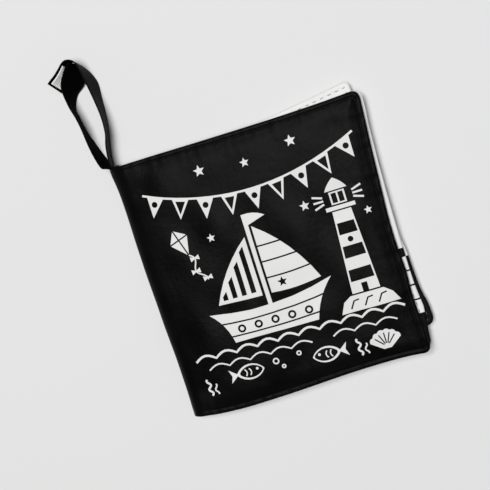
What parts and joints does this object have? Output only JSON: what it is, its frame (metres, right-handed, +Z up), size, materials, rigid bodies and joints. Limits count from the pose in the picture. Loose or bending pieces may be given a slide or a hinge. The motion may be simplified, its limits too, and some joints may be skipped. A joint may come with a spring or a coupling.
{
  "type": "soft book",
  "caption": "Small square cloth book with padded black covers, padded cloth leaves and a ribbon loop at the head of its spine; both covers open.",
  "frame": {"origin": "middle of the back cover's underside, which rests on the table", "axes": "+X from the spine to the fore edge, +Y along the spine towards the ribbon loop, +Z up through the front cover"},
  "size_m": [0.1691, 0.2172, 0.016],
  "materials": {
    "cover_cloth": "matt woven black cloth with a faint sheen",
    "page_cloth": "matt woven white cloth",
    "white_print": "matt white print on cloth",
    "black_print": "matt black print on cloth",
    "black_thread": "black sewing thread, slightly glossy",
    "grey_thread": "grey sewing thread, slightly glossy",
    "ribbon": "ribbed black ribbon with a soft sheen",
    "fastener_tape": "white hook and loop tape"
  },
  "bodies": {
    "back_cover": {"back_cover": "cover_cloth", "back_topstitch": "black_thread", "back_inner_print": "white_print"},
    "leaves": {"pages": "page_cloth", "page_print": "black_print", "page_topstitch": "grey_thread", "spine": "cover_cloth", "spine_stitch": "black_thread", "strap": "ribbon", "hook_patch": "fastener_tape", "loop_patch": "fastener_tape"},
    "front_cover": {"front_cover": "cover_cloth", "front_topstitch": "black_thread", "front_inner_print": "white_print", "cover_print": "white_print"}
  },
  "joints": [
    {"name": "back_cover_hinge", "type": "hinge", "parent": "back_cover", "child": "leaves", "pos_m": [-0.0703, 0, 0.00795], "axis": [0, -1, 0], "range_deg": [0, 180]},
    {"name": "front_cover_hinge", "type": "hinge", "parent": "leaves", "child": "front_cover", "pos_m": [-0.0703, 0, 0.00795], "axis": [0, -1, 0], "range_deg": [0, 180]}
  ]
}
